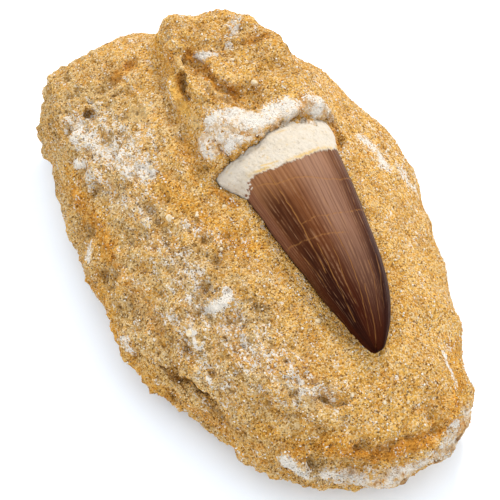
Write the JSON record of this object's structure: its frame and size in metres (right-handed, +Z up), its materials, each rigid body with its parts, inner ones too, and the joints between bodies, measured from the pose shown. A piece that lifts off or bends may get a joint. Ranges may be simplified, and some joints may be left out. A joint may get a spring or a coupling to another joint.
{
  "type": "fossil tooth",
  "caption": "Curved reptile tooth with a dark enamel crown and pale root, lying in an oblong block of golden sandstone with a flat underside.",
  "frame": {"origin": "middle of the flat underside, below the centre of the block's box", "axes": "+Y along the block from the tooth's tip to its root, +Z up, away from the face it rests on, +X to the right seen from above with the root at the top"},
  "size_m": [0.0763, 0.1251, 0.0386],
  "materials": {
    "sandstone": "rough, grainy sandstone, golden ochre with chalky white patches",
    "enamel": "dark brown fossil enamel with a soft gloss, and a matt cream root"
  },
  "bodies": {
    "root": {"stone": "sandstone", "tooth": "enamel"}
  },
  "joints": []
}
